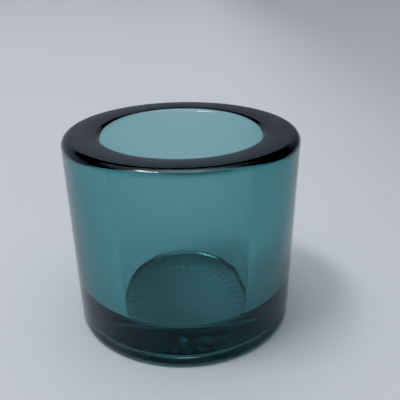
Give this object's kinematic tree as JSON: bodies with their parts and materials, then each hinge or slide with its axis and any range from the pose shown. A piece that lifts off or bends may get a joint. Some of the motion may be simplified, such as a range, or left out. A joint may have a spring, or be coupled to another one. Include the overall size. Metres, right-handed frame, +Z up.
{
  "type": "tealight holder",
  "caption": "Low thick-walled tumbler of pressed teal glass with a smooth, barely crowned rim, soft round edges and a round cavity that holds a standard tealight.",
  "frame": {"origin": "middle of the foot, on the surface it stands on", "axes": "+Z up along the axis of revolution, out of the mouth; X and Y are free"},
  "size_m": [0.0699, 0.07, 0.06],
  "materials": {
    "teal_glass": "clear blue-green soda-lime glass, coloured through, fire-polished outside and inside, with faint mould ripples"
  },
  "bodies": {
    "root": {"glass_body": "teal_glass"}
  },
  "joints": []
}
